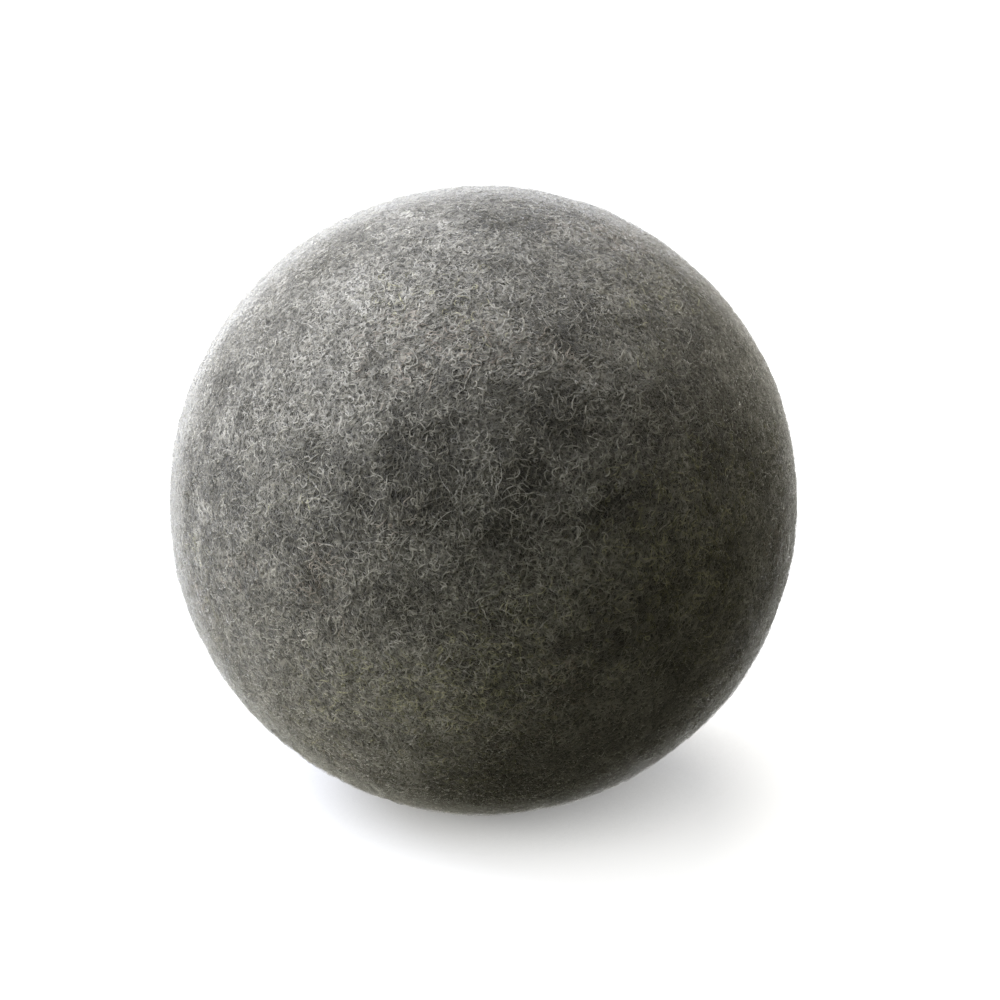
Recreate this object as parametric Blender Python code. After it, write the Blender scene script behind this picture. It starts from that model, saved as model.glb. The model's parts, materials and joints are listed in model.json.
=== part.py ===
"""A felted wool dryer ball, built from the middle outwards.

A crumpled wad of wool is wound with yarn, the yarn ball is wrapped with nine strips of carded
roving in three layers, and one continuous felt skin closes over them. Each layer's three wraps
run round the ball in three directions at right angles, and each wrap lies over the ones before it.

Units are metres, +Z is up, and the ball rests on z = 0 with its centre on the Z axis.
"""

import math

import bmesh
import bpy
import numpy as np
from mathutils import Matrix, Vector, noise

# The whole ball
BALL_RADIUS = 0.035
REST_RADIUS = 0.0047  # the round flat that the ball's weight presses into its underside
BALL_CENTRE_Z = math.sqrt(BALL_RADIUS**2 - REST_RADIUS**2)
GAP = 0.00032  # clear space between neighbouring pieces

# The wad and the yarn wound on it
WAD_RADIUS = 0.0078
WAD_CRUMPLE = 0.0009  # how far the wad's folds stand in or out
WAD_FOLD_SIZE = 0.006
YARN_RADIUS = 0.0122
YARN_RIDGE = 0.00035  # height of the crossing turns of yarn
YARN_TURNS = 5  # crossing turns counted round the equator
YARN_SLANT = 1.6  # how far a turn travels round the ball between its two ends
PULL_HOLE_RADIUS = 0.0016  # the hole along the winding's axis, where the strand starts
WINDING_SEGMENTS = 30
WINDING_RINGS = 12

# The roving wraps
WRAP_LAYERS = ("inner", "middle", "outer")
WRAPS_PER_LAYER = 3
WRAP_THICKNESS = {"inner": 0.0022, "middle": 0.0021, "outer": 0.0020}  # at the middle of a strip
WRAP_EDGE = 0.00025  # thickness of the feathered edges and ends
WRAP_HALF_WIDTH = math.radians(56)
WRAP_FADE = math.radians(30)  # how far past an edge the next wrap takes to settle down again
WRAP_STRIPS = 8  # facets across a wrap
WRAP_TURN_SEGMENTS = 32
WRAP_LAP_SEGMENTS = 4
WRAP_LAP = math.tau * WRAP_LAP_SEGMENTS / WRAP_TURN_SEGMENTS  # a wrap's tail over its own start
LAYER_TURN = math.radians(37)  # each layer's directions are turned by this from the last
LAYER_TURN_AXIS = Vector((1.0, 0.6, 0.35)).normalized()
WRAP_START_TURN = math.radians(137.5)  # each wrap starts this much further round than the last
RELIEF = 1.8  # a wrap's stand-off, counted in the dip of a facet's middle below its corners

# The felt skin
NEEDLE_HOLE_RADIUS = 0.0006  # a felting needle's hole, in the middle of the rest flat
SKIN_SEGMENTS = 36
SKIN_RINGS = 18

WOOL = {
    "core_wad": (0.62, 0.60, 0.53),
    "yarn_winding": (0.50, 0.47, 0.40),
    "inner_wrap": (0.36, 0.35, 0.31),
    "middle_wrap": (0.27, 0.26, 0.23),
    "outer_wrap": (0.21, 0.205, 0.18),
    "felt_skin": (0.17, 0.168, 0.145),
}
WOOL_ROUGHNESS = 0.95


def clear_scene():
    for obj in list(bpy.data.objects):
        bpy.data.objects.remove(obj, do_unlink=True)


def smoothstep(low, high, value):
    share = np.clip((value - low) / (high - low), 0.0, 1.0)
    return share * share * (3.0 - 2.0 * share)


def wool_material(name, colour):
    material = bpy.data.materials.new(name + "_wool")
    material.use_nodes = True
    shader = material.node_tree.nodes["Principled BSDF"]
    shader.inputs["Base Color"].default_value = (*colour, 1.0)
    shader.inputs["Roughness"].default_value = WOOL_ROUGHNESS
    shader.inputs["Metallic"].default_value = 0.0
    return material


def add_piece(name, mesh, colour):
    """Puts the mesh in the scene at the ball's centre, as the piece of that name."""
    mesh.materials.append(wool_material(name, colour))
    mesh.shade_smooth()
    mesh.set_sharp_from_angle(angle=math.radians(50))
    piece = bpy.data.objects.new(name, mesh)
    piece.location.z = BALL_CENTRE_Z
    bpy.context.scene.collection.objects.link(piece)
    return piece


def mesh_from_loops(name, loops, closed_ends):
    """A skin through closed loops of points, each loop joined to the next.

    With closed_ends the first and last loops are capped, and otherwise they're joined together.
    """
    bm = bmesh.new()
    rings = [[bm.verts.new(point) for point in loop] for loop in loops]
    pairs = list(zip(rings, rings[1:]))
    if not closed_ends:
        pairs.append((rings[-1], rings[0]))
    for ring, following in pairs:
        for i in range(len(ring)):
            j = (i + 1) % len(ring)
            bm.faces.new((ring[i], ring[j], following[j], following[i]))
    if closed_ends:
        cap_section(bm, rings[0])
        cap_section(bm, rings[-1])
    bmesh.ops.recalc_face_normals(bm, faces=bm.faces)
    mesh = bpy.data.meshes.new(name)
    bm.to_mesh(mesh)
    bm.free()
    return mesh


def cap_section(bm, ring):
    """Closes a wrap's section, whose first half runs across its outer side and back on its inner."""
    half = len(ring) // 2
    for i in range(half - 1):
        opposite = len(ring) - 1 - i
        bm.faces.new((ring[i], ring[i + 1], ring[opposite - 1], ring[opposite]))


class Wrap:
    """One strip of roving, wound once round the ball, its feathered tail over its own start."""

    def __init__(self, name, layer, index):
        self.name = name
        self.thickness = WRAP_THICKNESS[layer]
        turned = Matrix.Rotation(LAYER_TURN * WRAP_LAYERS.index(layer), 3, LAYER_TURN_AXIS)
        basis = [turned @ Vector(row) for row in Matrix.Identity(3)]
        order = WRAPS_PER_LAYER * WRAP_LAYERS.index(layer) + index
        spun = Matrix.Rotation(WRAP_START_TURN * order, 3, basis[index])
        self.axis = np.array(basis[index])
        self.start = np.array(spun @ basis[(index + 1) % WRAPS_PER_LAYER])
        self.side = np.cross(self.axis, self.start)

    def directions(self, around, across):
        """Unit vectors at an angle round the wrap's axis and an angle to either side of its middle."""
        flat = np.multiply.outer(np.cos(around), self.start) + np.multiply.outer(np.sin(around), self.side)
        return flat * np.cos(across)[:, None] + self.axis * np.sin(across)[:, None]

    def body(self, across):
        """Thickness of the wrap from edge to edge, where it isn't feathered."""
        crown = np.cos(np.clip(across / WRAP_HALF_WIDTH, -1, 1) * math.pi / 2) ** 2
        return WRAP_EDGE + (self.thickness - WRAP_EDGE) * crown

    def build_up(self, directions, radius):
        """How much this wrap adds in each direction to a ball of that radius."""
        across = np.abs(np.arcsin(np.clip(directions @ self.axis, -1, 1)))
        around = np.arctan2(directions @ self.side, directions @ self.start) % math.tau
        cover = 1.0 - smoothstep(WRAP_HALF_WIDTH, WRAP_HALF_WIDTH + WRAP_FADE, across)
        into_lap = smoothstep(-WRAP_FADE, 0.0, np.where(around > math.pi, around - math.tau, around))
        out_of_lap = 1.0 - smoothstep(WRAP_LAP, WRAP_LAP + WRAP_FADE, around)
        lap = np.where(around > math.pi, into_lap, out_of_lap)
        return cover * (facet_relief(radius) + GAP + self.body(across) + lap * (GAP + WRAP_EDGE))


def built_radius(directions, wraps):
    """The ball's radius in each direction once these wraps are on the yarn."""
    radius = np.full(len(directions), YARN_RADIUS + YARN_RIDGE)
    for wrap in wraps:
        radius = radius + wrap.build_up(directions, radius)
    return radius


def facet_relief(radius):
    """How far a wrap stands off what it lies on, so that its flat facets stay clear of it."""
    half_steps = math.cos(math.pi / WRAP_TURN_SEGMENTS) * math.cos(WRAP_HALF_WIDTH / WRAP_STRIPS)
    return RELIEF * radius * (1.0 / half_steps - 1.0)


def wrap_mesh(wrap, below):
    """The wrap's solid, lying on the yarn and on the wraps below it."""
    length = math.tau + WRAP_LAP
    across = np.linspace(-WRAP_HALF_WIDTH, WRAP_HALF_WIDTH, WRAP_STRIPS + 1)
    loops = []
    for around in np.linspace(0.0, length, WRAP_TURN_SEGMENTS + WRAP_LAP_SEGMENTS + 1):
        directions = wrap.directions(np.full(len(across), around), across)
        ground = built_radius(directions, below)
        feathering = wrap.body(across) - WRAP_EDGE
        head = smoothstep(0.0, WRAP_LAP, around)
        tail = smoothstep(math.tau, length, around)
        lifted = smoothstep(math.tau - WRAP_FADE, math.tau, around)
        bed = ground + facet_relief(ground) + GAP + lifted * (GAP + WRAP_EDGE)
        inner = directions * (bed + tail * feathering)[:, None]
        outer = directions * (bed + WRAP_EDGE + head * feathering)[:, None]
        loops.append(np.concatenate([outer, inner[::-1]]))
    return mesh_from_loops(wrap.name, loops, closed_ends=True)


def core_wad_mesh():
    """A small crumpled ball of loose wool."""
    bm = bmesh.new()
    bmesh.ops.create_icosphere(bm, subdivisions=3, radius=WAD_RADIUS)
    for vertex in bm.verts:
        fold = noise.noise(vertex.co / WAD_FOLD_SIZE, noise_basis="PERLIN_ORIGINAL")
        vertex.co *= 1.0 + WAD_CRUMPLE * (fold - 1.0) / WAD_RADIUS
    mesh = bpy.data.meshes.new("core_wad")
    bm.to_mesh(mesh)
    bm.free()
    return mesh


def yarn_winding_mesh():
    """A hollow ball of crossing turns, open along its axis as a centre-pull ball is."""
    inner_radius = WAD_RADIUS + GAP
    outer_hole = math.asin(PULL_HOLE_RADIUS / YARN_RADIUS)
    inner_hole = math.asin(PULL_HOLE_RADIUS / inner_radius)
    polar = np.linspace(outer_hole, math.pi - outer_hole, WINDING_RINGS + 1)
    back = np.linspace(math.pi - inner_hole, inner_hole, WINDING_RINGS + 1)
    half_steps = math.cos(math.pi / WINDING_SEGMENTS) * math.cos(math.pi / WINDING_RINGS / 2)
    loops = []
    for around in np.linspace(0.0, math.tau, WINDING_SEGMENTS, endpoint=False):
        slant = YARN_SLANT * (polar - math.pi / 2)
        turns = np.maximum(np.cos(YARN_TURNS * (around + slant)), np.cos(YARN_TURNS * (around - slant)))
        radius = YARN_RADIUS + YARN_RIDGE * turns * np.sin(polar)
        outer = ring_points(radius, polar, around)
        inner = ring_points(np.full(len(back), inner_radius / half_steps), back, around)
        loops.append(np.concatenate([outer, inner]))
    return mesh_from_loops("yarn_winding", loops, closed_ends=False)


def ring_points(radius, polar, around):
    """Points at these distances from the centre, at these angles from +Z, on one half plane."""
    flat = radius * np.sin(polar)
    return np.stack([flat * math.cos(around), flat * math.sin(around), radius * np.cos(polar)], axis=1)


def felt_skin_mesh(wraps):
    """The outer felt: a sphere with a rest flat outside, moulded over the wraps inside."""
    hole = math.asin(NEEDLE_HOLE_RADIUS / BALL_CENTRE_Z)
    flat_edge = math.asin(REST_RADIUS / BALL_RADIUS)
    outer_polar = math.pi - np.concatenate([[hole], np.linspace(flat_edge, math.pi, SKIN_RINGS)])
    inner_polar = math.pi - np.concatenate([[hole], np.linspace(flat_edge, math.pi, SKIN_RINGS)])
    angles = np.linspace(0.0, math.tau, SKIN_SEGMENTS, endpoint=False)
    outer_rings = []
    inner_rings = []
    for around in angles:
        outer = ring_points(np.full(len(outer_polar), BALL_RADIUS), outer_polar, around)
        outer[0] = (NEEDLE_HOLE_RADIUS * math.cos(around), NEEDLE_HOLE_RADIUS * math.sin(around), 0.0)
        outer[:2, 2] = -BALL_CENTRE_Z
        directions = ring_points(np.ones(len(inner_polar)), inner_polar, around)
        packed = built_radius(directions, wraps)
        inside = packed + facet_relief(packed) + GAP
        outer_rings.append(outer)
        inner_rings.append(directions * inside[:, None])
    return skin_from_meridians("felt_skin", outer_rings, inner_rings)


def skin_from_meridians(name, outer, inner):
    """A hollow ball from its meridians, which start at the needle hole and end at the top."""
    bm = bmesh.new()
    hole_rims = []
    for meridians in (outer, inner):
        top = bm.verts.new(np.mean([meridian[-1] for meridian in meridians], axis=0))
        columns = [[bm.verts.new(point) for point in meridian[:-1]] for meridian in meridians]
        for column, following in zip(columns, columns[1:] + columns[:1]):
            for i in range(len(column) - 1):
                bm.faces.new((column[i], following[i], following[i + 1], column[i + 1]))
            bm.faces.new((column[-1], following[-1], top))
        hole_rims.append([column[0] for column in columns])
    for i in range(len(hole_rims[0])):
        j = (i + 1) % len(hole_rims[0])
        bm.faces.new((hole_rims[0][i], hole_rims[0][j], hole_rims[1][j], hole_rims[1][i]))
    bmesh.ops.recalc_face_normals(bm, faces=bm.faces)
    mesh = bpy.data.meshes.new(name)
    bm.to_mesh(mesh)
    bm.free()
    return mesh


def build():
    clear_scene()
    add_piece("core_wad", core_wad_mesh(), WOOL["core_wad"])
    add_piece("yarn_winding", yarn_winding_mesh(), WOOL["yarn_winding"])
    wraps = []
    for layer in WRAP_LAYERS:
        for index in range(WRAPS_PER_LAYER):
            wrap = Wrap(f"{layer}_wrap_{index + 1}", layer, index)
            add_piece(wrap.name, wrap_mesh(wrap, wraps), WOOL[layer + "_wrap"])
            wraps.append(wrap)
    add_piece("felt_skin", felt_skin_mesh(wraps), WOOL["felt_skin"])


build()
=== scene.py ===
"""Looks of the felted wool dryer ball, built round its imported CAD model.

The felt skin is a dense mesh with the soft lumps of hand-felted wool, covered with tens of
thousands of modelled fibres that curl and lie across each other, sorted into pieces by the
colour of their wool. All sizes are in metres, in the frame of the CAD model.
"""

import itertools
import json
import math

import bpy
import numpy as np
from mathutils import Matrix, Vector


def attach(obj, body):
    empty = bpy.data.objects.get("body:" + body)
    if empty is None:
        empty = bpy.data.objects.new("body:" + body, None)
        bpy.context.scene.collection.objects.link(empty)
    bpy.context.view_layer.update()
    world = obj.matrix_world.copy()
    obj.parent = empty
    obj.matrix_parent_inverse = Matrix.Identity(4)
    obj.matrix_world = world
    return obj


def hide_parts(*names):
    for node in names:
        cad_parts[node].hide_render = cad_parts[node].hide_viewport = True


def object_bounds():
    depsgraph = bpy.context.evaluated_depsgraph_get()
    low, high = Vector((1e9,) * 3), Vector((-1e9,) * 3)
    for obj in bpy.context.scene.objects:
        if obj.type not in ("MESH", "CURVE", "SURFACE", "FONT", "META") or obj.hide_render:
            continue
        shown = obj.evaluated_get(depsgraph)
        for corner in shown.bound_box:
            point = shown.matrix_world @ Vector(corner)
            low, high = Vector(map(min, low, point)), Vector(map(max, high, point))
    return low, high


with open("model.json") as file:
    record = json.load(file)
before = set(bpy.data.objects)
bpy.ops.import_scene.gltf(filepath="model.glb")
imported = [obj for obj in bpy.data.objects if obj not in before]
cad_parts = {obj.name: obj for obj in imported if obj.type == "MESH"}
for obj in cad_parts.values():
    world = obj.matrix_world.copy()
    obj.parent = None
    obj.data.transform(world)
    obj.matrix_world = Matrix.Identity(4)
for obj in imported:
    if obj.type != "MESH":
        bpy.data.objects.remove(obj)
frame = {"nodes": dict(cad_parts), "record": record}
cad_low, cad_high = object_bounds()

# The ball, read from the frame
RADIUS = (cad_high[0] - cad_low[0]) / 2
CENTRE = np.array([
    (cad_low[0] + cad_high[0]) / 2,
    (cad_low[1] + cad_high[1]) / 2,
    cad_high[2] - RADIUS,
])
MM = 0.001

# The camera and its framing
VIEW_ELEVATION = math.radians(18)
LENS = 100.0  # focal length in millimetres on a sensor 36 mm wide
SENSOR = 36.0
BALL_SHARE = 0.3145  # the ball's radius as a share of the picture's width
AIM_RIGHT = 0.0165  # how far right of the ball's centre the camera aims, in picture widths

# How the hidden layers look: stretch of the grain along each axis, grain per metre, how far the
# grain wanders, and the depth of its relief. The colours are the record's.
LAYER_GRAINS = {
    "raw_wool": ((1.0, 1.0, 1.0), 600, 2.5, 0.5 * MM),
    "wool_yarn": ((1.0, 0.35, 1.0), 1300, 1.0, 0.3 * MM),
    "inner_roving": ((1.0, 0.12, 1.0), 1100, 1.2, 0.2 * MM),
    "middle_roving": ((0.12, 1.0, 1.0), 1100, 1.2, 0.2 * MM),
    "outer_roving": ((1.0, 1.0, 0.12), 1100, 1.2, 0.2 * MM),
}
LAYER_SHADES = (0.3, 0.7, 0.6, 1.25)  # noise from and to, and the shade that it gives, from and to

# Softboxes round the ball: direction as the camera sees it (right, up, towards it), watts, colour
LIGHT_SIZE = 0.45
LIGHT_DISTANCE = 0.6
LIGHTS = (
    ("left_front", (-0.85, 0.0, 0.50), 2.60, (1.00, 0.96, 0.73)),
    ("left_high_front", (-0.74, 0.43, 0.50), 1.50, (0.95, 1.00, 1.20)),
    ("left", (-1.0, 0.0, 0.0), 2.70, (1.03, 0.98, 0.90)),
    ("upper_left", (-0.71, 0.71, 0.0), 6.30, (0.96, 1.00, 1.14)),
    ("top", (0.0, 1.0, 0.0), 5.30, (1.04, 0.99, 0.88)),
    ("top_back", (-0.33, 0.79, -0.50), 0.60, (0.80, 1.00, 1.60)),
    ("right", (1.0, 0.0, 0.0), 1.06, (1.05, 0.99, 0.78)),
    ("front", (-0.1, 0.1, 1.0), 0.20, (1.00, 1.00, 0.60)),
    ("back", (0.34, -0.12, -0.92), 10.0, (1.00, 1.00, 1.00)),
)

# What lies round the ball
WORLD_LIGHT = (0.012, 0.012, 0.010)  # the faint light from everywhere
BACKDROP = (1.2, 1.2, 1.2)  # what the camera sees behind the ball
FLOOR_HALF = 3.0
FLOOR_DROP = 0.02 * MM  # how far the floor lies under the ball, so that the two don't touch
FLOOR_SHADE = (0.30, 0.30, 0.30)
FLOOR_SHADOW_REACH = 0.3
FLOOR_SHADOW_LEAN = (-0.12, -0.72, 1.0)  # the floor is lit from here, so its shadow falls the other way
FLOOR_GLOW = (0.0, 0.9, 0.04, 0.95)  # openness from and to, and the glow that it gives, from and to

# The felt surface
SKIN_GRID = 128  # quads along each side of the six faces that the skin is divided into
LUMPS = ((9 * MM, 0.09 * MM), (3.2 * MM, 0.07 * MM), (1.3 * MM, 0.05 * MM))  # size and height
FELT_DEPTH = 0.40 * MM  # how far the felt's mean surface lies inside the ball's outline
# The felt's colours are darker than the fibres' wool: painted shade in the gaps between the fibres
SHADED_FELT_DARK = (0.030, 0.029, 0.025)
SHADED_FELT_PALE = (0.15, 0.147, 0.136)
FELT_TONES = 1.2  # the tone, either side of 0, at which the felt is at its darkest or palest
FELT_NET = ((900, 0.0), (1500, 3.7), (2300, 9.1))  # noise that nets the felt: scale per metre, shift
FELT_NET_WIDTH = 0.07
FELT_NET_HAIR_AND_GAP_SHADE = (0.0, 1.0, 0.45, 1.5)  # from off a ridge to on it, and its shade, from and to; off the ridges it is painted shade in the gaps between the hairs
LATTICE = 64

# Noise in the tone of the wool: seed, size of its features, weight
TONE_MOTTLES = ((21, 11 * MM, 0.40), (22, 4.5 * MM, 0.95), (26, 2.1 * MM, 0.75))

# Where the wool is paler or darker, as the camera sees it: partly its own tone, partly painted light and
# shade (painted bounce light from the floor on the lower left, painted shade at the bottom by the floor).
# Right, up, both in radii of the ball, then the patch's spread in radians and how much it changes the tone
TONE_AND_PAINTED_LIGHT_PATCHES = (
    (-0.38, 0.34, 0.17, 0.9),
    (-0.49, 0.45, 0.25, 0.4),
    (-0.22, 0.50, 0.17, 0.6),
    # painted light: these three rows brighten the lower left, for light thrown up from the floor
    (-0.70, -0.50, 0.17, 0.8),
    (-0.50, -0.70, 0.15, 0.8),
    (-0.31, -0.48, 0.16, 1.3),
    (0.29, 0.04, 0.09, 0.6),
    (0.58, 0.07, 0.13, 0.8),
    (-0.14, -0.70, 0.20, 0.9),
    (0.32, -0.30, 0.16, 0.4),
    (-0.01, 0.19, 0.18, -0.6),
    (0.05, -0.16, 0.13, -0.7),
    (-0.07, -0.32, 0.15, -0.6),
    (0.28, 0.50, 0.17, -1.0),
    (0.25, -0.80, 0.14, -0.6),
    # painted shade: this row darkens the bottom, next to the floor
    (0.02, -0.93, 0.18, -2.4),
    (0.16, 0.00, 0.20, -0.45),
    (0.20, -0.52, 0.14, 0.6),
    (0.36, 0.72, 0.13, -0.4),
    (0.12, 0.30, 0.12, -0.5),
    (0.66, 0.29, 0.16, -0.6),
    (-0.74, -0.08, 0.26, -0.5),
    (0.58, -0.48, 0.12, -0.6),
)
OLIVE_PATCHES = (
    (0.55, 0.05, 0.28, 0.5),
    (0.35, -0.45, 0.40, 0.5),
    (-0.15, -0.72, 0.30, 0.5),
    (0.75, -0.30, 0.30, 0.3),
)

RELIEF_STRENGTH = 0.8

# Noise that mottles the wool's colour (first row) and paints shade into the small pits of felting (second
# row):
# scale per metre, the range of noise used, and its shades
MOTTLES_AND_PIT_SHADE = (
    (420, 0.36, 0.64, 0.85, 1.15),
    (2000, 0.34, 0.55, 0.50, 1.08),
)

# The fibres, and the colour of each wool
PIECE_TRIANGLES = 190_000  # the most in one piece
FIBRE_SIDES = 3
ROUNDNESS = 0.6  # how far a fibre's shading turns to its sides
MAT_FIBRES = 40000
LOOSE_FIBRES = 44000
WISPS = 150
WISP_FIBRES = 9  # in each wisp
WISP_SCATTER = 0.35 * MM  # how far the fibres of a wisp start from its middle
WISP_LENGTH = (3.0, 7.5)  # the least and the most, in millimetres, as for the next two
WISP_HEIGHT = (0.04, 0.30)
WISP_THICKNESS = (0.040, 0.070)
FLOW_POLE = (0.31, 0.17, 0.93)  # the flow of the fibres is measured round this direction
BEND_KEPT = 0.7  # the share of a fibre's bend that goes on from one ring to the next
BEND_NEW = 0.6  # how much the bend changes at each ring, as a share of the curl
LOWEST_FIBRE = 0.06 * MM  # over the floor
HEADING_SPREAD = 1.6  # how far the headings of the coat's fibres stray from the flow, in radians
COAT_ROOT = 0.12 * MM  # how deep the ends of the coat's fibres lie in the felt
WISP_ROOT = 0.1 * MM
WAVE_HEIGHT = 0.03 * MM  # of the ripple along a fibre
WAVE_TURN = 11  # radians of ripple along a fibre
ARCH = 0.5  # the smaller, the more of its length a fibre lies at its full height
TAPER = 0.4  # the smaller, the blunter its ends

# Which wool a fibre is: its tone strays by TONE_SPREAD, and TONE_STEPS part charcoal, slate, grey,
# pale and white. Olive and brown come in areas, where (times the noise, plus, at most) is their share.
TONE_SPREAD = 0.20
TONE_STEPS = (-0.95, -0.2, 0.55, 1.25)
OLIVE_SHARE = (0.5, -0.15, 0.6)
BROWN_SHARE = (1.2, -0.45, 0.35)
DARK_OLIVE_BELOW = -0.1  # the tone under which olive wool is dark olive
WOOLS = {
    "charcoal": (0.122, 0.119, 0.107),
    "slate": (0.178, 0.175, 0.162),
    "grey": (0.238, 0.235, 0.220),
    "pale": (0.288, 0.285, 0.270),
    "white": (0.330, 0.327, 0.313),
    "olive": (0.270, 0.266, 0.195),
    "dark_olive": (0.145, 0.143, 0.098),
    "brown": (0.215, 0.194, 0.175),
}
PAINTED_SHEEN_COLOUR = (0.31, 0.31, 0.305)  # the colour that the wool is painted toward near the ball's outline: a painted sheen
PAINTED_SHEEN_EDGE = (0.68, 0.88)  # how far the surface is turned from the camera where that painted sheen starts and is full


class Noise:
    """Smooth noise between -1 and 1, with features of one size."""

    def __init__(self, seed, size):
        self.lattice = np.random.default_rng(seed).uniform(-1, 1, (LATTICE,) * 3)
        self.size = size

    def __call__(self, points):
        scaled = points / self.size
        low = np.floor(scaled).astype(int)
        share = scaled - low
        share = share * share * (3 - 2 * share)
        total = np.zeros(len(points))
        for corner in itertools.product((0, 1), repeat=3):
            weight = np.prod(np.where(corner, share, 1 - share), axis=1)
            x, y, z = ((low + corner) % LATTICE).T
            total += weight * self.lattice[x, y, z]
        return total


lump_noises = [(Noise(10 + i, size), height) for i, (size, height) in enumerate(LUMPS)]
tone_noises = [(Noise(seed, size), weight) for seed, size, weight in TONE_MOTTLES]
olive_noise = Noise(23, 9 * MM)
brown_noise = Noise(24, 8 * MM)
flow_noise = Noise(25, 12 * MM)


def felt_radius(directions):
    """Distance from the ball's centre to the felt, in each direction."""
    points = directions * RADIUS
    return RADIUS - FELT_DEPTH + sum(height * noise(points) for noise, height in lump_noises)


def unit(vectors):
    """The vectors at a length of one."""
    return vectors / np.linalg.norm(vectors, axis=-1, keepdims=True)


def camera_direction(right, up, towards):
    """A unit direction given as the camera sees it."""
    ahead = np.array([0.0, math.cos(VIEW_ELEVATION), -math.sin(VIEW_ELEVATION)])
    above = np.array([0.0, math.sin(VIEW_ELEVATION), math.cos(VIEW_ELEVATION)])
    return unit(np.array([right, 0.0, 0.0]) + above * up - ahead * towards)


def patchwork(directions, patches):
    """The sum of soft round patches on the side that the camera sees."""
    total = np.zeros(len(directions))
    for right, up, spread, strength in patches:
        middle = camera_direction(right, up, math.sqrt(1 - right * right - up * up))
        total += strength * np.exp(-2 * (1 - directions @ middle) / spread ** 2)
    return total


def tone_and_painted_light(directions):
    """How pale the wool is in each direction, with the painted light and shade of the patches: about -1 is
    charcoal and 1 is white.
    """
    points = directions * RADIUS
    mottle = sum(weight * noise(points) for noise, weight in tone_noises)
    return mottle + patchwork(directions, TONE_AND_PAINTED_LIGHT_PATCHES)


def add_mesh(name, points, faces_by_size, uv=None, normals=None):
    """A mesh object from its points and from arrays of faces, one array for each number of corners."""
    mesh = bpy.data.meshes.new(name)
    corners = np.concatenate([faces.reshape(-1) for faces in faces_by_size])
    sizes = np.concatenate([np.full(len(faces), faces.shape[1]) for faces in faces_by_size])
    starts = np.concatenate([[0], np.cumsum(sizes)[:-1]])
    mesh.vertices.add(len(points))
    mesh.vertices.foreach_set("co", points.astype(np.float32).reshape(-1))
    mesh.loops.add(len(corners))
    mesh.loops.foreach_set("vertex_index", corners.astype(np.int32))
    mesh.polygons.add(len(sizes))
    mesh.polygons.foreach_set("loop_start", starts.astype(np.int32))
    mesh.update(calc_edges=True)
    mesh.shade_smooth()
    if normals is not None:
        mesh.normals_split_custom_set_from_vertices(normals.astype(np.float32))
    if uv is not None:
        layer = mesh.uv_layers.new(name="OFBake")
        layer.data.foreach_set("uv", uv[corners].astype(np.float32).reshape(-1))
    piece = bpy.data.objects.new(name, mesh)
    bpy.context.scene.collection.objects.link(piece)
    return piece


# ---------------------------------------------------------------- the felt skin


def skin_directions():
    """Points of a cube's surface pushed out to a sphere, evenly spaced, with its quads."""
    steps = np.tan(np.linspace(-math.pi / 4, math.pi / 4, SKIN_GRID + 1))
    u, v = (grid.reshape(-1) for grid in np.meshgrid(steps, steps, indexing="ij"))
    index = np.arange((SKIN_GRID + 1) ** 2).reshape(SKIN_GRID + 1, SKIN_GRID + 1)
    quads = np.stack([index[:-1, :-1], index[1:, :-1], index[1:, 1:], index[:-1, 1:]], axis=-1)
    points = []
    faces = []
    for axis, sign in itertools.product(range(3), (-1, 1)):
        face = np.empty((len(u), 3))
        face[:, axis] = sign
        face[:, (axis + 1) % 3] = u * sign
        face[:, (axis + 2) % 3] = v
        points.append(unit(face))
        faces.append(quads.reshape(-1, 4) + len(u) * len(faces))
    return np.concatenate(points), np.concatenate(faces)


def make_felt_skin():
    """One closed surface with soft lumps: the points that the six faces share are made one."""
    directions, quads = skin_directions()
    _, first, same = np.unique(
        np.round(directions * 1e5).astype(int), axis=0, return_index=True, return_inverse=True
    )
    directions = directions[first]
    quads = same.reshape(-1)[quads]
    points = CENTRE + directions * felt_radius(directions)[:, None]
    points[:, 2] = np.maximum(points[:, 2], 0.0)
    skin = add_mesh("felt_surface", points, [quads])
    # the tone, with the painted light and shade of the patches, goes into the felt's colour
    pale = skin.data.attributes.new("pale", "FLOAT", "POINT")
    pale.data.foreach_set("value", tone_and_painted_light(directions).astype(np.float32))
    return skin


# ---------------------------------------------------------------- the fibres


def random_directions(rng, count):
    return unit(rng.normal(size=(count, 3)))


def flow_heading(directions):
    """A direction along the surface that changes slowly from place to place, as combed wool does."""
    east = unit(np.cross(FLOW_POLE, directions))
    north = np.cross(directions, east)
    angle = flow_noise(directions * RADIUS)[:, None] * 2 * math.pi
    return east * np.cos(angle) + north * np.sin(angle)


def turned(vectors, axes, angles):
    """The vectors turned about unit axes that they're square to."""
    angles = angles[:, None]
    return vectors * np.cos(angles) + np.cross(axes, vectors) * np.sin(angles)


def fibre_centrelines(rng, starts, rings, length, spread, curl, profile):
    """Curling lines over the felt, as an array of fibre, ring and coordinate.

    spread is how far their headings stray from the flow, in radians, and curl is the usual
    curvature per metre. profile gives the height above the felt of every fibre at a share of its
    length.
    """
    count = len(starts)
    place = starts
    heading = turned(flow_heading(place), place, rng.normal(0, spread, count))
    own_bend = rng.normal(0, curl, count)
    bend = own_bend
    step = length / (rings + 1)
    line = []
    for ring in range(rings + 2):
        height = profile(ring / (rings + 1))
        line.append(CENTRE + place * (felt_radius(place) + height)[:, None])
        change = rng.normal(0, BEND_NEW * curl, count)
        bend = own_bend + BEND_KEPT * (bend - own_bend) + change
        heading = turned(heading, place, bend * step)
        place = unit(place + heading * (step / RADIUS)[:, None])
        heading = unit(heading - place * np.sum(heading * place, axis=1, keepdims=True))
    lines = np.stack(line, axis=1)
    lines[:, :, 2] = np.maximum(lines[:, :, 2], LOWEST_FIBRE)
    return lines


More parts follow.
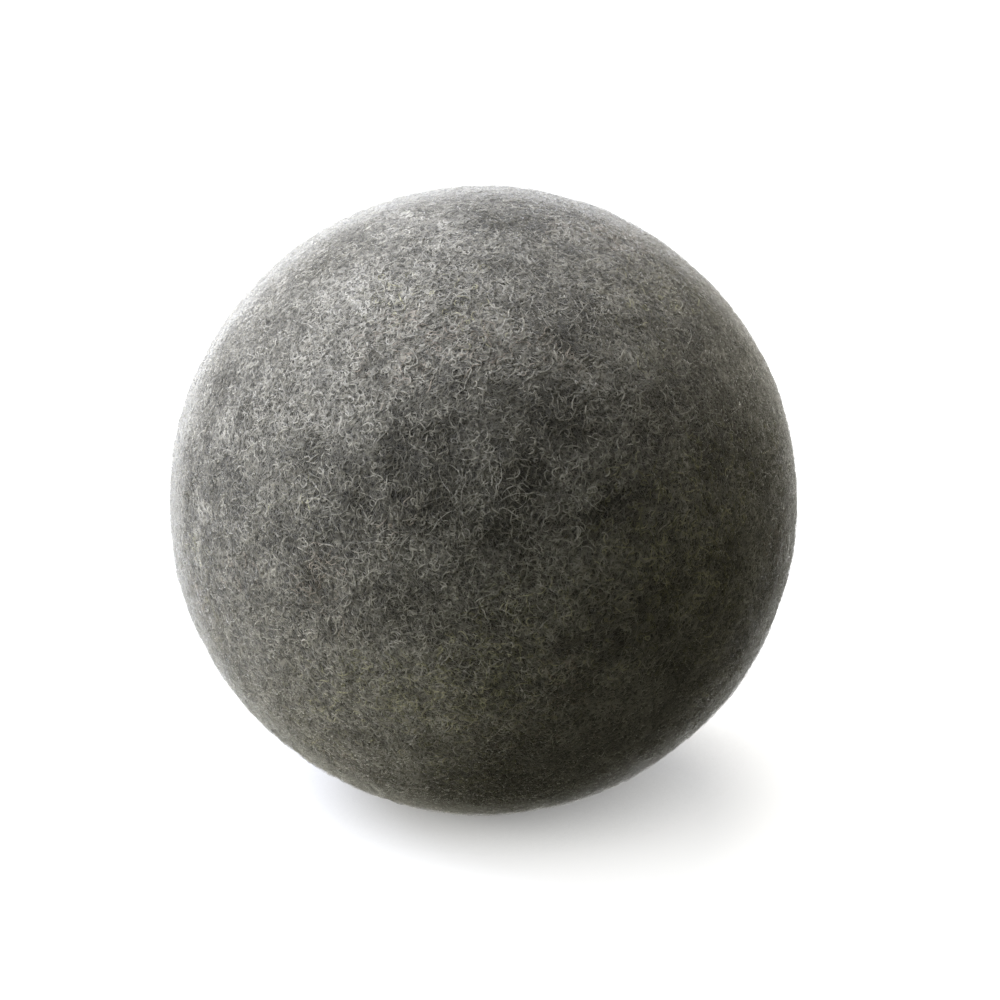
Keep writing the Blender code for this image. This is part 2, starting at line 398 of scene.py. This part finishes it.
def fibre_tubes(name, lines, thickness, flatness):
    """Closed tubes along the lines, tapering to a point at both ends."""
    count = len(lines)
    rings = lines.shape[1] - 2
    along = unit(lines[:, 2:] - lines[:, :-2])
    up = unit(lines[:, 1:-1] - CENTRE)
    side = unit(np.cross(up, along))
    up = np.cross(along, side)
    taper = np.sin(math.pi * (np.arange(rings) + 1) / (rings + 1)) ** TAPER
    radius = (thickness / 2)[:, None, None] * taper[None, :, None]
    corners = []
    facings = []
    for corner in range(FIBRE_SIDES):
        angle = math.pi / 2 + math.tau * corner / FIBRE_SIDES
        across = math.cos(angle)
        above = math.sin(angle)
        corners.append(lines[:, 1:-1] + radius * (side * across + up * above * flatness))
        facings.append(unit(side * across * ROUNDNESS + up))
    body = np.stack(corners, axis=2).reshape(count, rings * FIBRE_SIDES, 3)
    points = np.concatenate([body, lines[:, :1], lines[:, -1:]], axis=1)
    facing = np.stack(facings, axis=2).reshape(count, rings * FIBRE_SIDES, 3)
    facing = np.concatenate([facing, up[:, :1], up[:, -1:]], axis=1).reshape(-1, 3)
    per_fibre = points.shape[1]

    ring_index = np.arange(rings * FIBRE_SIDES).reshape(rings, FIBRE_SIDES)
    following = np.roll(ring_index, -1, axis=1)
    quads = np.stack([ring_index[:-1], following[:-1], following[1:], ring_index[1:]], axis=-1)
    start_tip = np.full(FIBRE_SIDES, per_fibre - 2)
    end_tip = np.full(FIBRE_SIDES, per_fibre - 1)
    tips = np.concatenate([
        np.stack([following[0], ring_index[0], start_tip], axis=-1),
        np.stack([ring_index[-1], following[-1], end_tip], axis=-1),
    ])
    offsets = (np.arange(count) * per_fibre)[:, None, None]
    all_quads = (quads.reshape(1, -1, 4) + offsets).reshape(-1, 4)
    all_tips = (tips[None] + offsets).reshape(-1, 3)
    uv = fibre_uv(count, rings)
    return add_mesh(name, points.reshape(-1, 3), [all_quads, all_tips], uv, facing)


def fibre_uv(count, rings):
    """A small cell of the texture for each fibre, along its length and round it."""
    cells = math.ceil(math.sqrt(count))
    place = np.arange(count)
    corner = np.stack([place % cells, place // cells], axis=1) / cells
    ring = np.repeat(np.arange(rings) + 1, FIBRE_SIDES) / (rings + 1)
    turn = np.tile(np.arange(FIBRE_SIDES), rings) / FIBRE_SIDES
    within = np.stack([np.concatenate([ring, [0, 1]]), np.concatenate([turn, [0.5, 0.5]])], axis=1)
    margin = 0.1
    return (corner[:, None] + (margin + (1 - 2 * margin) * within)[None] / cells).reshape(-1, 2)


def choose_wool(rng, directions, paler):
    """The index in WOOLS of each fibre's colour, from the tone of the wool where it lies, painted light
    and shade included.
    """
    names = list(WOOLS)
    shade = tone_and_painted_light(directions) + paler + rng.normal(0, TONE_SPREAD, len(directions))
    chosen = np.digitize(shade, TONE_STEPS)
    points = directions * RADIUS
    times, plus, most = OLIVE_SHARE
    olive_share = times * olive_noise(points) + plus + patchwork(directions, OLIVE_PATCHES)
    olive = rng.uniform(size=len(directions)) < np.clip(olive_share, 0, most)
    times, plus, most = BROWN_SHARE
    brown_share = times * brown_noise(points) + plus
    brown = rng.uniform(size=len(directions)) < np.clip(brown_share, 0, most)
    light_olive = shade[olive] > DARK_OLIVE_BELOW
    chosen[olive] = np.where(light_olive, names.index("olive"), names.index("dark_olive"))
    chosen[brown] = names.index("brown")
    return chosen


def shares(starts, rings):
    """The starts, in lots that each make a piece of no more than PIECE_TRIANGLES."""
    most = PIECE_TRIANGLES // (FIBRE_SIDES * 2 * rings)
    return np.array_split(starts, max(1, math.ceil(len(starts) / most)))


def make_coat(rng, kind, count, rings, length, curl, low, high, thickness, paler, flatness):
    """Curling fibres of every wool, whose middles lie between two heights over the felt.

    The lengths, heights and thicknesses are in millimetres.
    """
    starts = random_directions(rng, count)
    wool = choose_wool(rng, starts, paler)
    pieces = []
    for index, name in enumerate(WOOLS):
        for number, share in enumerate(shares(starts[wool == index], rings)):
            size = len(share)
            lengths = rng.uniform(*length, size) * MM
            top = rng.uniform(low, high, size) * MM
            wave = rng.uniform(0, math.tau, size)

            def profile(along):
                arch = math.sin(math.pi * along) ** ARCH
                ripple = WAVE_HEIGHT * np.sin(wave + along * WAVE_TURN)
                return (top + COAT_ROOT) * arch - COAT_ROOT + ripple

            lines = fibre_centrelines(rng, share, rings, lengths, HEADING_SPREAD, curl, profile)
            thick = rng.uniform(*thickness, size) * MM
            pieces.append((name, fibre_tubes(f"{kind}_{name}_{number + 1}", lines, thick, flatness)))
    return pieces


def make_wisps(rng):
    """Locks of longer, paler fibres that run together over the felt."""
    rings = 13
    centres = random_directions(rng, WISPS)
    starts = np.repeat(centres, WISP_FIBRES, axis=0)
    starts = unit(starts + rng.normal(0, WISP_SCATTER / RADIUS, starts.shape))
    pieces = []
    for number, share in enumerate(shares(starts, rings)):
        size = len(share)
        length = rng.uniform(*WISP_LENGTH, size) * MM
        top = rng.uniform(*WISP_HEIGHT, size) * MM

        def profile(along):
            return (top + WISP_ROOT) * math.sin(math.pi * along) ** ARCH - WISP_ROOT

        lines = fibre_centrelines(rng, share, rings, length, spread=0.5, curl=420, profile=profile)
        thickness = rng.uniform(*WISP_THICKNESS, size) * MM
        tubes = fibre_tubes(f"pale_wisps_{number + 1}", lines, thickness, flatness=0.5)
        pieces.append(("pale", tubes))
    return pieces


def make_fibres():
    """Every fibre piece with the name of its wool: the felted mat, the loose hairs, then the wisps."""
    rng = np.random.default_rng(5)
    mat = make_coat(
        rng, "mat", MAT_FIBRES, rings=8, length=(2.0, 3.8), curl=2100,
        low=-0.03, high=0.10, thickness=(0.110, 0.170), paler=0.0, flatness=0.4,
    )
    loose = make_coat(
        rng, "loose", LOOSE_FIBRES, rings=5, length=(2.0, 3.4), curl=500,
        low=0.02, high=0.30, thickness=(0.022, 0.031), paler=-0.25, flatness=1.0,
    )
    return mat + loose + make_wisps(rng)


# ---------------------------------------------------------------- materials


def new_material(name):
    material = bpy.data.materials.new(name)
    material.use_nodes = True
    nodes = material.node_tree.nodes
    return material, nodes, material.node_tree.links, nodes["Principled BSDF"]


def noise_at(nodes, links, place, scale, detail, distortion):
    """The value of a noise texture at a place."""
    noise = nodes.new("ShaderNodeTexNoise")
    noise.inputs["Scale"].default_value = scale
    noise.inputs["Detail"].default_value = detail
    noise.inputs["Distortion"].default_value = distortion
    links.new(place, noise.inputs["Vector"])
    return noise.outputs["Fac"]


def mapped(nodes, links, value, from_min, from_max, to_min, to_max, smooth=True):
    """The value, taken from one range to another."""
    change = nodes.new("ShaderNodeMapRange")
    change.interpolation_type = "SMOOTHSTEP" if smooth else "LINEAR"
    change.inputs["From Min"].default_value = from_min
    change.inputs["From Max"].default_value = from_max
    change.inputs["To Min"].default_value = to_min
    change.inputs["To Max"].default_value = to_max
    links.new(value, change.inputs["Value"])
    return change.outputs["Result"]


def combined(nodes, links, operation, first, second):
    """Two values combined by a Math node. A plain number stands for its value, and None is left out."""
    if first is None:
        return second
    both = nodes.new("ShaderNodeMath")
    both.operation = operation
    links.new(first, both.inputs[0])
    if isinstance(second, float):
        both.inputs[1].default_value = second
    else:
        links.new(second, both.inputs[1])
    return both.outputs[0]


def add_relief(nodes, links, shader, height, distance):
    """A fine relief on the shader, as deep as distance."""
    bump = nodes.new("ShaderNodeBump")
    bump.inputs["Strength"].default_value = RELIEF_STRENGTH
    bump.inputs["Distance"].default_value = distance
    links.new(height, bump.inputs["Height"])
    links.new(bump.outputs["Normal"], shader.inputs["Normal"])


def set_finish(shader, roughness, specular, sheen, sheen_roughness):
    shader.inputs["Roughness"].default_value = roughness
    shader.inputs["Specular IOR Level"].default_value = specular
    shader.inputs["Sheen Weight"].default_value = sheen
    shader.inputs["Sheen Roughness"].default_value = sheen_roughness


def mottles_and_pit_shade(nodes, links):
    """How light the wool is from place to place: soft mottles of its tone, and painted shade in the small
    pits of felting.
    """
    place = nodes.new("ShaderNodeTexCoord").outputs["Object"]
    light = None
    for scale, low, high, darkest, lightest in MOTTLES_AND_PIT_SHADE:
        noise = noise_at(nodes, links, place, scale, detail=1.5, distortion=0.5)
        shade = mapped(nodes, links, noise, low, high, darkest, lightest)
        light = combined(nodes, links, "MULTIPLY", light, shade)
    return light


def multiplied(nodes, links, colour, light):
    """A colour socket or value, multiplied by a grey value."""
    mix = nodes.new("ShaderNodeMix")
    mix.data_type = "RGBA"
    mix.blend_type = "MULTIPLY"
    mix.inputs["Factor"].default_value = 1.0
    if isinstance(colour, tuple):
        mix.inputs[6].default_value = (*colour, 1)
    else:
        links.new(colour, mix.inputs[6])
    links.new(light, mix.inputs[7])
    return mix.outputs[2]


def with_painted_rim_sheen(nodes, links, colour):
    """Painted sheen: the wool's colour is painted paler near the ball's outline, where the surface is seen
    edge-on.
    """
    coordinate = nodes.new("ShaderNodeTexCoord")
    outwards = nodes.new("ShaderNodeVectorMath")
    outwards.operation = "SUBTRACT"
    outwards.inputs[1].default_value = CENTRE
    straight = nodes.new("ShaderNodeVectorMath")
    straight.operation = "NORMALIZE"
    edge = nodes.new("ShaderNodeLayerWeight")
    edge.inputs["Blend"].default_value = 0.5
    mix = nodes.new("ShaderNodeMix")
    mix.data_type = "RGBA"
    mix.inputs[7].default_value = (*PAINTED_SHEEN_COLOUR, 1)
    links.new(coordinate.outputs["Object"], outwards.inputs[0])
    links.new(outwards.outputs["Vector"], straight.inputs[0])
    links.new(straight.outputs["Vector"], edge.inputs["Normal"])
    painted_sheen = mapped(nodes, links, edge.outputs["Facing"], *PAINTED_SHEEN_EDGE, 0, 1)
    links.new(painted_sheen, mix.inputs["Factor"])
    links.new(colour, mix.inputs[6])
    return mix.outputs[2]


def fibre_material(name, colour):
    material, nodes, links, shader = new_material(name + "_wool")
    # mottles of the wool's tone, and painted shade in the pits of felting
    light = mottles_and_pit_shade(nodes, links)
    wool = multiplied(nodes, links, colour, light)
    # painted sheen: the colour turns paler near the ball's outline
    links.new(with_painted_rim_sheen(nodes, links, wool), shader.inputs["Base Color"])
    add_relief(nodes, links, shader, light, 0.22 * MM)
    set_finish(shader, roughness=0.85, specular=0.25, sheen=1.0, sheen_roughness=0.25)
    return material


def felt_net(nodes, links):
    """A fine net of ridges, 1 on a ridge and 0 off it: the hairs of the felt, too many to model."""
    place = nodes.new("ShaderNodeTexCoord").outputs["Object"]
    net = None
    for scale, step in FELT_NET:
        shift = nodes.new("ShaderNodeMapping")
        shift.inputs["Location"].default_value = (step, step * 0.7, -step)
        links.new(place, shift.inputs["Vector"])
        noise = noise_at(nodes, links, shift.outputs["Vector"], scale, detail=1.5, distortion=0.6)
        centred = combined(nodes, links, "SUBTRACT", noise, 0.5)
        folded = combined(nodes, links, "ABSOLUTE", centred, 0.0)
        ridge = mapped(nodes, links, folded, 0.0, FELT_NET_WIDTH, 1.0, 0.0)
        net = combined(nodes, links, "MAXIMUM", net, ridge)
    return net


def felt_material():
    material, nodes, links, shader = new_material("matted_felt")
    net = felt_net(nodes, links)
    # the felt's tone, with the painted light and shade of the patches
    pale = nodes.new("ShaderNodeAttribute")
    pale.attribute_name = "pale"
    tone_ramp = nodes.new("ShaderNodeValToRGB")
    darkest, palest = tone_ramp.color_ramp.elements
    # painted shade: the felt is coloured darker than the fibres' wool, for the gaps between them
    darkest.color = (*SHADED_FELT_DARK, 1)
    palest.color = (*SHADED_FELT_PALE, 1)
    place = mapped(nodes, links, pale.outputs["Fac"], -FELT_TONES, FELT_TONES, 0, 1, smooth=False)
    links.new(place, tone_ramp.inputs["Fac"])
    # painted shade: off the net's ridges the felt is darker, for the gaps between its hairs
    shade = mapped(nodes, links, net, *FELT_NET_HAIR_AND_GAP_SHADE, smooth=False)
    netted = multiplied(nodes, links, tone_ramp.outputs["Color"], shade)
    # mottles of the wool's tone, and painted shade in the pits of felting
    felt = multiplied(nodes, links, netted, mottles_and_pit_shade(nodes, links))
    # painted sheen: the colour turns paler near the ball's outline
    links.new(with_painted_rim_sheen(nodes, links, felt), shader.inputs["Base Color"])
    add_relief(nodes, links, shader, net, 0.15 * MM)
    set_finish(shader, roughness=0.95, specular=0.1, sheen=0.3, sheen_roughness=0.5)
    return material


def layer_material(slot, colour):
    """Loose wool, yarn or carded roving of a layer under the skin: streaks of lighter and darker fibre."""
    stretch, grain, wander, relief = LAYER_GRAINS[slot]
    material, nodes, links, shader = new_material(slot + "_wool")
    coordinate = nodes.new("ShaderNodeTexCoord")
    mapping = nodes.new("ShaderNodeMapping")
    mapping.inputs["Scale"].default_value = stretch
    links.new(coordinate.outputs["Object"], mapping.inputs["Vector"])
    noise = noise_at(nodes, links, mapping.outputs["Vector"], grain, detail=4.0, distortion=wander)
    shade = mapped(nodes, links, noise, *LAYER_SHADES, smooth=False)
    links.new(multiplied(nodes, links, colour, shade), shader.inputs["Base Color"])
    add_relief(nodes, links, shader, noise, relief)
    set_finish(shader, roughness=0.9, specular=0.15, sheen=0.3, sheen_roughness=0.5)
    return material


# ---------------------------------------------------------------- building


def build_object():
    skin = make_felt_skin()
    skin.data.materials.append(felt_material())
    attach(skin, "root")
    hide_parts("felt_skin")
    materials = {name: fibre_material(name, colour) for name, colour in WOOLS.items()}
    for name, piece in make_fibres():
        piece.data.materials.append(materials[name])
        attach(piece, "root")
    colours = {row["slot"]: tuple(row["base_color"]) for row in frame["record"]["materials"]}
    layers = {slot: layer_material(slot, colours[slot]) for slot in LAYER_GRAINS}
    for row in frame["record"]["subparts"]:
        if row["material_slot"] in layers:
            node = frame["nodes"][row["node"]]
            node.data.materials.clear()
            node.data.materials.append(layers[row["material_slot"]])


def build_stage():
    """A white floor that shows only the soft shadow under the ball, and throws no light on it."""
    mesh = bpy.data.meshes.new("floor")
    corners = [(x * FLOOR_HALF, y * FLOOR_HALF, 0) for x, y in ((-1, -1), (1, -1), (1, 1), (-1, 1))]
    mesh.from_pydata(corners, [], [(0, 1, 2, 3)])
    floor = bpy.data.objects.new("floor", mesh)
    bpy.context.scene.collection.objects.link(floor)
    floor.location.z = -FLOOR_DROP
    floor.visible_diffuse = False
    floor.visible_glossy = False
    floor.visible_shadow = False
    material, nodes, links, shader = new_material("floor_white")
    shader.inputs["Base Color"].default_value = (*FLOOR_SHADE, 1)
    shader.inputs["Roughness"].default_value = 1.0
    shader.inputs["Specular IOR Level"].default_value = 0.0
    occlusion = nodes.new("ShaderNodeAmbientOcclusion")
    occlusion.inputs["Distance"].default_value = FLOOR_SHADOW_REACH
    occlusion.samples = 16
    tilt = nodes.new("ShaderNodeCombineXYZ")
    for axis, share in zip("XYZ", unit(np.array(FLOOR_SHADOW_LEAN))):
        tilt.inputs[axis].default_value = share
    links.new(tilt.outputs["Vector"], occlusion.inputs["Normal"])
    glow = mapped(nodes, links, occlusion.outputs["AO"], *FLOOR_GLOW)
    shader.inputs["Emission Color"].default_value = (1, 1, 1, 1)
    links.new(glow, shader.inputs["Emission Strength"])
    mesh.materials.append(material)


def add_light(name, direction, watts, colour):
    """A round softbox that faces the ball's centre from a direction."""
    lamp = bpy.data.lights.new(name, "AREA")
    lamp.shape = "DISK"
    lamp.size = LIGHT_SIZE
    lamp.energy = watts
    lamp.color = colour
    light = bpy.data.objects.new(name, lamp)
    bpy.context.scene.collection.objects.link(light)
    away = Vector(direction).normalized()
    light.location = Vector(CENTRE) + away * LIGHT_DISTANCE
    light.rotation_euler = away.to_track_quat("Z", "Y").to_euler()
    light.visible_camera = False


def build_world():
    """A faint light from everywhere, and a white backdrop that only the camera sees."""
    world = bpy.data.worlds.new("studio")
    bpy.context.scene.world = world
    world.use_nodes = True
    nodes = world.node_tree.nodes
    links = world.node_tree.links
    background = nodes["Background"]
    path = nodes.new("ShaderNodeLightPath")
    backdrop = nodes.new("ShaderNodeMix")
    backdrop.data_type = "RGBA"
    backdrop.inputs[6].default_value = (*WORLD_LIGHT, 1)
    backdrop.inputs[7].default_value = (*BACKDROP, 1)
    links.new(path.outputs["Is Camera Ray"], backdrop.inputs["Factor"])
    links.new(backdrop.outputs[2], background.inputs["Color"])
    bpy.context.scene.view_settings.view_transform = "Standard"


def build_camera():
    data = bpy.data.cameras.new("camera")
    data.lens = LENS
    data.sensor_width = SENSOR
    camera = bpy.data.objects.new("camera", data)
    bpy.context.scene.collection.objects.link(camera)
    width = RADIUS / BALL_SHARE
    distance = width * LENS / SENSOR
    back = Vector((0, -math.cos(VIEW_ELEVATION), math.sin(VIEW_ELEVATION)))
    aim = Vector(CENTRE) + Vector((AIM_RIGHT * width, 0, 0))
    camera.location = aim + back * distance
    camera.rotation_euler = back.to_track_quat("Z", "Y").to_euler()
    bpy.context.scene.camera = camera


build_object()
build_stage()
build_world()
build_camera()
for name, (right, up, towards), watts, colour in LIGHTS:
    add_light(name, camera_direction(right, up, towards), watts, colour)

bpy.context.view_layer.update()
